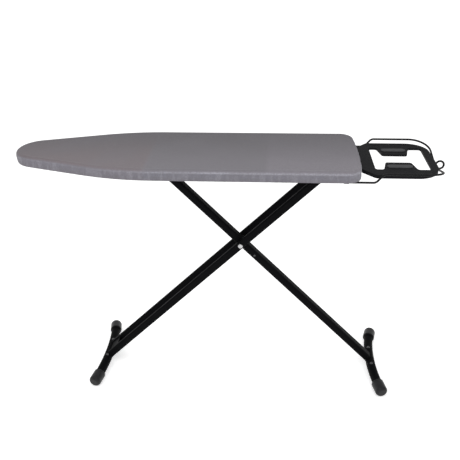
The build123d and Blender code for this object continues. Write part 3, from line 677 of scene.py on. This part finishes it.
last_full_row = TOP_ROWS + 5 + 9 - 1
below_notch = {i for row in cover_ids[last_full_row + 1:] for k, i in enumerate(row) if in_notch(k)}
kept_faces = [f for f in cover_faces if not any(i in below_notch for i in f)]

top_ids = [i for row in cover_ids[:TOP_ROWS - 1] for i in row]
spots = cover_points[top_ids]
waves = np.sin(spots[:, 0] * 23 + 1.3) * np.sin(spots[:, 1] * 31 + 0.4)
cover_points[top_ids, 2] -= 0.0004 * (1 + waves)

cover = make_object("cover_cloth", cover_points, kept_faces)
cut_place = np.zeros((len(cover_points), 2))
for row, flat in zip(cover_ids, cut):
    cut_place[row] = flat
uv = cover.data.uv_layers.new(name="flat_cut")
corner_points = np.zeros(len(cover.data.loops), dtype=np.int32)
cover.data.loops.foreach_get("vertex_index", corner_points)
uv.data.foreach_set("uv", cut_place[corner_points].ravel())
tidy_mesh = bmesh.new()
tidy_mesh.from_mesh(cover.data)
bmesh.ops.delete(tidy_mesh, geom=[v for v in tidy_mesh.verts if not v.link_faces], context="VERTS")
bmesh.ops.recalc_face_normals(tidy_mesh, faces=tidy_mesh.faces)
tidy_mesh.faces.ensure_lookup_table()
if tidy_mesh.faces[0].normal.z < 0:
    bmesh.ops.reverse_faces(tidy_mesh, faces=tidy_mesh.faces)
tidy_mesh.to_mesh(cover.data)
tidy_mesh.free()
thickness = cover.modifiers.new("thickness", "SOLIDIFY")
thickness.thickness = CLOTH_THICKNESS
thickness.offset = -1
seat(cover, "board", cover_cloth)
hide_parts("cover")
x, y = edge_points.T
top_area = abs(np.sum(x * np.roll(y, -1) - y * np.roll(x, -1))) / 2
cut_beyond = cloth_beyond_edge - EDGE_RADIUS
cut_area = top_area + cut_beyond * edge_length
cut_size = (2 * (HALF_WIDTH + cut_beyond), cover_high.x - cover_low.x + 2 * cut_beyond)
print("flat cut", [round(v, 3) for v in cut_size], "m, area", round(cut_area, 3), "m2")

# %% [markdown]
# ## The felt pad
# Under the cover lies an 8 mm felt underlay, a closed slab with soft edges. It is carried round the
# same outline, just inside the cloth.

# %% Make the felt pad
pad_low, pad_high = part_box("pad")
PAD_INSET = 0.0028
PAD_EDGE = 0.0060


def pad_rows():
    outer = edge_points - edge_out * PAD_INSET
    rows = []
    for share in np.linspace(0, 1, 9):
        flat = spine + (outer - edge_out * PAD_EDGE - spine) * share
        rows.append(at_height(flat, pad_high.z - 0.0002))
    for a in np.linspace(0, math.pi / 2, 6)[1:]:
        rows.append(at_height(outer - edge_out * PAD_EDGE * (1 - math.sin(a)),
                              pad_high.z - 0.0002 - PAD_EDGE * (1 - math.cos(a))))
    for a in np.linspace(0, math.pi / 2, 4)[1:]:
        rows.append(at_height(outer - edge_out * 0.0014 * (1 - math.cos(a)),
                              pad_low.z + 0.0001 + 0.0014 * (1 - math.sin(a))))
    for share in np.linspace(1, 0, 9)[1:]:
        rows.append(at_height(spine + (outer - edge_out * 0.0014 - spine) * share, pad_low.z + 0.0001))
    return rows


pad_points, _, pad_faces = ringed_mesh(pad_rows(), closed=True)
pad = make_object("felt_pad", pad_points, pad_faces)
seat(pad, "board", felt)
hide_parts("pad")

# %% [markdown]
# ## Geometry Nodes for whatever repeats
# Strands, stitches and weld beads repeat hundreds of times along lines. Two small trees make them
# all: one gives every line of a net a flat section, the other sets small rounded shapes along a line
# at an even pitch. Their sizes are named inputs, and each ends as real mesh with its material.

# %% Build the two trees
def begin_tree(name, sizes):
    group = bpy.data.node_groups.new(name, "GeometryNodeTree")
    group.interface.new_socket(name="Lines", in_out="INPUT", socket_type="NodeSocketGeometry")
    for label, value in sizes.items():
        kind = "NodeSocketInt" if isinstance(value, int) else "NodeSocketFloat"
        socket = group.interface.new_socket(name=label, in_out="INPUT", socket_type=kind)
        socket.default_value = value
    group.interface.new_socket(name="Shape", in_out="OUTPUT", socket_type="NodeSocketGeometry")
    tree = Tree(group)
    entry = group.nodes.new("NodeGroupInput")
    return tree, {s.name: Wire(tree, s) for s in entry.outputs if s.name}


def end_tree(tree, shape, material):
    real = tree.node("GeometryNodeRealizeInstances", None, {0: shape})
    dressed = tree.node("GeometryNodeSetMaterial", None, {"Geometry": real, "Material": material})
    leave = tree.tree.nodes.new("NodeGroupOutput")
    tree.plug(leave.inputs[0], dressed)
    return tree.tree


def strand_tree(material):
    """Every edge of the input becomes a flat strand of steel."""
    tree, entry = begin_tree("strands", {"Strand width": 0.002, "Strand thickness": 0.0012})
    line = tree.node("GeometryNodeMeshToCurve", None, {"Mesh": entry["Lines"]})
    level_line = tree.node("GeometryNodeSetCurveNormal", None, {"Curve": line})
    level_line.socket.node.mode = "Z_UP"
    section = tree.node("GeometryNodeCurvePrimitiveQuadrilateral", None,
                        {"Width": entry["Strand width"], "Height": entry["Strand thickness"]})
    strands = tree.node("GeometryNodeCurveToMesh", None,
                        {"Curve": level_line, "Profile Curve": section, "Fill Caps": True})
    return end_tree(tree, strands, material)


def bead_tree(name, material):
    """Small rounded shapes, each as long as its share of the pitch, along every line."""
    tree, entry = begin_tree(name, {"Pitch": 0.004, "Bead length": 0.003, "Bead radius": 0.0005,
                                    "Unevenness": 0.1, "Seed": 3})
    line = tree.node("GeometryNodeMeshToCurve", None, {"Mesh": entry["Lines"]})
    spots = tree.tree.nodes.new("GeometryNodeCurveToPoints")
    spots.mode = "LENGTH"
    tree.plug(spots.inputs["Curve"], line)
    tree.plug(spots.inputs["Length"], entry["Pitch"])
    bead = tree.node("GeometryNodeMeshUVSphere", None, {"Segments": 8, "Rings": 5, "Radius": 1.0})
    luck = tree.tree.nodes.new("FunctionNodeRandomValue")
    luck.data_type = "FLOAT"
    tree.plug(luck.inputs[2], 1 - entry["Unevenness"])
    tree.plug(luck.inputs[3], 1 + entry["Unevenness"])
    tree.plug(luck.inputs["Seed"], entry["Seed"])
    varied = Wire(tree, luck.outputs[1])
    size = tree.node("ShaderNodeCombineXYZ", None, {
        0: entry["Bead radius"] * varied, 1: entry["Bead radius"] * varied,
        2: entry["Bead length"] * varied * 0.5})
    beads = tree.node("GeometryNodeInstanceOnPoints", None, {
        "Points": Wire(tree, spots.outputs["Points"]), "Instance": bead,
        "Rotation": Wire(tree, spots.outputs["Rotation"]), "Scale": size})
    return end_tree(tree, beads, material)


def grow(name, lines, tree, body, slot_name, finish, **sizes):
    """Runs a tree along lines, given as lists of points, and seats the plain mesh that it makes."""
    points, edges = [], []
    for line in lines:
        edges += [(len(points) + k, len(points) + k + 1) for k in range(len(line) - 1)]
        points += list(line)
    source = make_object(name + "_lines", points, edges=edges)
    modifier = source.modifiers.new("grow", "NODES")
    modifier.node_group = tree
    for item in tree.interface.items_tree:
        label = item.name.replace(" ", "_").lower()
        if item.in_out == "INPUT" and label in sizes:
            modifier[item.identifier] = sizes[label]
    grown = source.evaluated_get(bpy.context.evaluated_depsgraph_get())
    mesh = bpy.data.meshes.new_from_object(grown)
    source.modifiers.remove(modifier)
    bpy.data.objects.remove(source)
    piece = bpy.data.objects.new(name, mesh)
    bpy.context.scene.collection.objects.link(piece)
    return seat(piece, body, finish)


steel_strands = strand_tree(finishes["deck_steel"].material)
thread_row = bead_tree("thread_row", hem_thread.material)
weld_row = bead_tree("weld_row", finishes["black_paint"].material)
print("trees:", [g.name for g in bpy.data.node_groups])

# %% [markdown]
# ## The mesh deck
# A steam-permeable deck is expanded steel: a slit sheet pulled open into diamonds. Its strands are
# the edges of a diamond net, kept where both ends lie inside the rim. The net's ends rest on the
# rim's flange, out of sight, as the real trimmed edge does.

# %% Make the mesh deck
deck_low, deck_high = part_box("deck_mesh")
DIAMOND_LONG = 0.022
DIAMOND_SHORT = 0.0125
DECK_INSET = 0.006

half_line = half_outline()
half_line = half_line[np.argsort(half_line[:, 0])]


def inside_deck(px, py):
    limit = np.interp(px, half_line[:, 0], half_line[:, 1])
    return deck_low.x + DECK_INSET < px < deck_high.x - DECK_INSET and abs(py) < limit - DECK_INSET


deck_middle = (deck_low.z + deck_high.z) / 2
net = []
for i in range(int((deck_high.x - deck_low.x) / DIAMOND_LONG * 2)):
    for j in range(-32, 33):
        if (i + j) % 2:
            continue
        start = (deck_low.x + i * DIAMOND_LONG / 2, j * DIAMOND_SHORT / 2)
        for step in (-1, 1):
            stop = (start[0] + DIAMOND_LONG / 2, start[1] + step * DIAMOND_SHORT / 2)
            if inside_deck(*start) and inside_deck(*stop):
                net.append([(*start, deck_middle), (*stop, deck_middle)])
deck = grow("deck_strands", net, steel_strands, "board", "deck_steel", finishes["deck_steel"],
            strand_width=0.0019, strand_thickness=0.0012)
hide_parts("deck_mesh")

# %% [markdown]
# ## Hem, elastic and stitches
# Turned over, the cover ends in a narrow casing with an elastic inside it, which gathers the cloth
# into ruffles. The casing is a soft roll that swells and shrinks along its length. The elastic
# crosses below the iron rest's tongue on its own, and a row of stitches holds the casing shut.

# %% Make the casing, the elastic and the stitches
CASING_RADIUS = 0.0026
RUFFLE_COUNT = 300
casing_z = cover_low.z + 0.0008


def closed_tube(name, line, radii, sides=10):
    """A tube along an open line with its ends closed."""
    line, vertices, faces = np.array(line), [], []
    tangent = np.gradient(line, axis=0)
    tangent /= np.linalg.norm(tangent, axis=1)[:, None]
    for point, ahead_now, radius in zip(line, tangent, radii):
        side = np.cross(ahead_now, (0, 0, 1))
        side /= np.linalg.norm(side)
        up = np.cross(side, ahead_now)
        for k in range(sides):
            a = 2 * math.pi * k / sides
            vertices.append(point + radius * (side * math.cos(a) + up * math.sin(a)))
    for r in range(len(line) - 1):
        for k in range(sides):
            n = (k + 1) % sides
            faces.append((r * sides + k, (r + 1) * sides + k, (r + 1) * sides + n, r * sides + n))
    faces.append(tuple(range(sides)))
    faces.append(tuple(reversed(range((len(line) - 1) * sides, len(line) * sides))))
    made = make_object(name, vertices, faces)
    mesh = bmesh.new()
    mesh.from_mesh(made.data)
    bmesh.ops.recalc_face_normals(mesh, faces=mesh.faces)
    mesh.to_mesh(made.data)
    mesh.free()
    return made


fine_points, fine_out, _ = edge_line(1600)
open_part = [k for k in range(1600)
             if not (fine_points[k][0] > 0 and abs(fine_points[k][1]) < 0.094 and fine_out[k][0] > 0.7)]
gap = next(n for n in range(len(open_part) - 1) if open_part[n + 1] - open_part[n] > 1)
run_order = open_part[gap + 1:] + open_part[:gap + 1]
casing_line = at_height((fine_points - fine_out * HEM_REACH)[run_order], casing_z)
phase = np.linspace(0, RUFFLE_COUNT * 2 * math.pi, len(casing_line))
ruffles = CASING_RADIUS * (1 + 0.20 * np.sin(phase) + 0.10 * np.sin(phase * 0.37 + 1))
casing = closed_tube("hem_casing", casing_line, ruffles)
seat(casing, "board", hem_elastic)

first_end, last_end = casing_line[0], casing_line[-1]
share = np.linspace(0, 1, 25)[:, None]
bridge = first_end * (1 - share) + last_end * share
ramp = share[:, 0] * 6
bridge[:, 2] = casing_z - 0.0032 * np.sin(np.clip(ramp, 0, 1) * np.clip(6 - ramp, 0, 1)
                                          * math.pi / 2)
elastic = closed_tube("hem_elastic", bridge, np.full(len(bridge), 0.0013), sides=8)
seat(elastic, "board", hem_elastic)

STITCH_INSET = 0.026
stitch_line = at_height((fine_points - fine_out * STITCH_INSET)[run_order], cover_low.z - 0.00015)
grow("hem_stitches", [stitch_line], thread_row, "board", "cover_fabric", hem_thread, pitch=0.0045,
     bead_length=0.0034, bead_radius=0.0003, unevenness=0.06, seed=5)

# %% [markdown]
# ## Welds
# Cross bars, hinge brackets and feet are welded. A weld bead is a row of overlapping drops under the
# paint, and it softens the hard corner where two tubes meet. The foot welds follow the exact curve in
# which each leg's section meets its round foot bar.

# %% Make the welds
joints = {j["name"]: j for j in frame["joints"]}
pivot = np.array(joints["leg_b_pivot"]["pos_m"])
LEG_SLOPE = {"leg_a": (-1, math.radians(44.3)), "leg_b": (1, math.radians(45.9))}
FOOT_BAR_RADIUS = 0.018
FOOT_MIDDLE_Z = 0.028
TUBE_DEPTH = 0.029


def rounded_section(width, depth, corner):
    """Points round a tube's section, as (across, through) pairs."""
    ring = []
    for sx, sy, start in ((1, 1, 0), (-1, 1, 90), (-1, -1, 180), (1, -1, 270)):
        for a in np.radians(np.linspace(start, start + 90, 7)):
            ring.append((sx * (width / 2 - corner) + corner * math.cos(a),
                         sy * (depth / 2 - corner) + corner * math.sin(a)))
    return ring + ring[:1]


def foot_weld(leg, middle_y, width, corner):
    """Line where a leg's tube meets its foot bar."""
    side, slope = LEG_SLOPE[leg]
    down = np.array([side * math.cos(slope), 0, -math.sin(slope)])
    through = np.array([side * math.sin(slope), 0, math.cos(slope)])
    length = (pivot[2] - FOOT_MIDDLE_Z) / math.sin(slope)
    line = []
    for across, depth in rounded_section(width, TUBE_DEPTH, corner):
        reach = length - math.sqrt(FOOT_BAR_RADIUS ** 2 - depth ** 2) - 0.0004
        line.append(pivot + down * reach + through * depth + np.array([0, middle_y + across, 0]))
    return line


weld_sizes = {"pitch": 0.0016, "bead_length": 0.0034, "bead_radius": 0.0015, "unevenness": 0.15}
grow("foot_welds_left", [foot_weld("leg_a", y, 0.018, 0.006) for y in (-0.0345, 0.0345)], weld_row,
     "leg_a", "black_paint", finishes["black_paint"], seed=7, **weld_sizes)
grow("foot_weld_right", [foot_weld("leg_b", 0, 0.042, 0.010)], weld_row, "leg_b", "black_paint",
     finishes["black_paint"], seed=8, **weld_sizes)

bars_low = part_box("cross_bars")[0]
BAR_MIDDLES = (-0.504, -0.214, 0.076, joints["leg_a_fold"]["pos_m"][0])
RIM_REACH = 0.023
BAR_HALF = 0.012
bar_welds = []
for middle in BAR_MIDDLES:
    for side in (-1, 1):
        ends = [(x, side * (float(np.interp(x, half_line[:, 0], half_line[:, 1])) - RIM_REACH - 0.001),
                 bars_low.z + 0.0004) for x in np.linspace(middle - BAR_HALF, middle + BAR_HALF, 9)]
        bar_welds.append(ends)
bracket_low, bracket_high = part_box("front_hinge_bracket")
for y in (bracket_low.y, -bracket_low.y):
    bar_welds.append([(x, y, bars_low.z - 0.0004)
                      for x in np.linspace(bracket_low.x + 0.006, bracket_high.x - 0.006, 9)])
grow("bar_welds", bar_welds, weld_row, "board", "black_paint", finishes["black_paint"], seed=9,
     **weld_sizes)

# %% [markdown]
# ## Floor and light
# The board stands on a plain pale floor that runs out of view, lit like a small product studio: a
# bright even surround for the white ground, one large soft light in front of the board that lifts the
# cloth's skirt, and a slimmer one above that draws lengthwise highlights on the painted legs.

# %% Make the floor and the lights
floor_finish = Finish("floor", Roughness=0.95, Specular_IOR_Level=0.1)
floor_finish.set(Base_Color=floor_finish.mix(floor_finish.noise(2.0), colour(0.93, 0.93, 0.93),
                                             colour(0.95, 0.95, 0.95)),
                 Emission_Color=colour(1.0, 1.0, 1.0), Emission_Strength=0.50)
FLOOR_HALF = 30.0
floor = make_object("floor", [(-FLOOR_HALF, -FLOOR_HALF, 0), (FLOOR_HALF, -FLOOR_HALF, 0),
                              (FLOOR_HALF, FLOOR_HALF, 0), (-FLOOR_HALF, FLOOR_HALF, 0)], [(0, 1, 2, 3)])
floor.data.materials.append(floor_finish.material)

world = bpy.data.worlds.new("studio")
world.use_nodes = True
bpy.context.scene.world = world
world.node_tree.nodes["Background"].inputs["Color"].default_value = colour(1.0, 1.0, 1.0)
world.node_tree.nodes["Background"].inputs["Strength"].default_value = 0.76
bpy.context.scene.view_settings.view_transform = "Standard"


def soft_light(name, place, target, width, height, power):
    lamp = bpy.data.lights.new(name, "AREA")
    lamp.shape = "RECTANGLE"
    lamp.size, lamp.size_y, lamp.energy = width, height, power
    holder = bpy.data.objects.new(name, lamp)
    bpy.context.scene.collection.objects.link(holder)
    holder.location = place
    holder.rotation_euler = (Vector(target) - Vector(place)).to_track_quat("-Z", "Y").to_euler()
    holder.visible_camera = False


soft_light("strip_light", (0.0, -0.42, 1.28), (0, 0.0, 0.88), 2.2, 0.10, 3.8)
soft_light("front_light", (0.1, -3.0, 1.6), (0, 0, 0.7), 1.6, 1.2, 8)
print("studio ready")
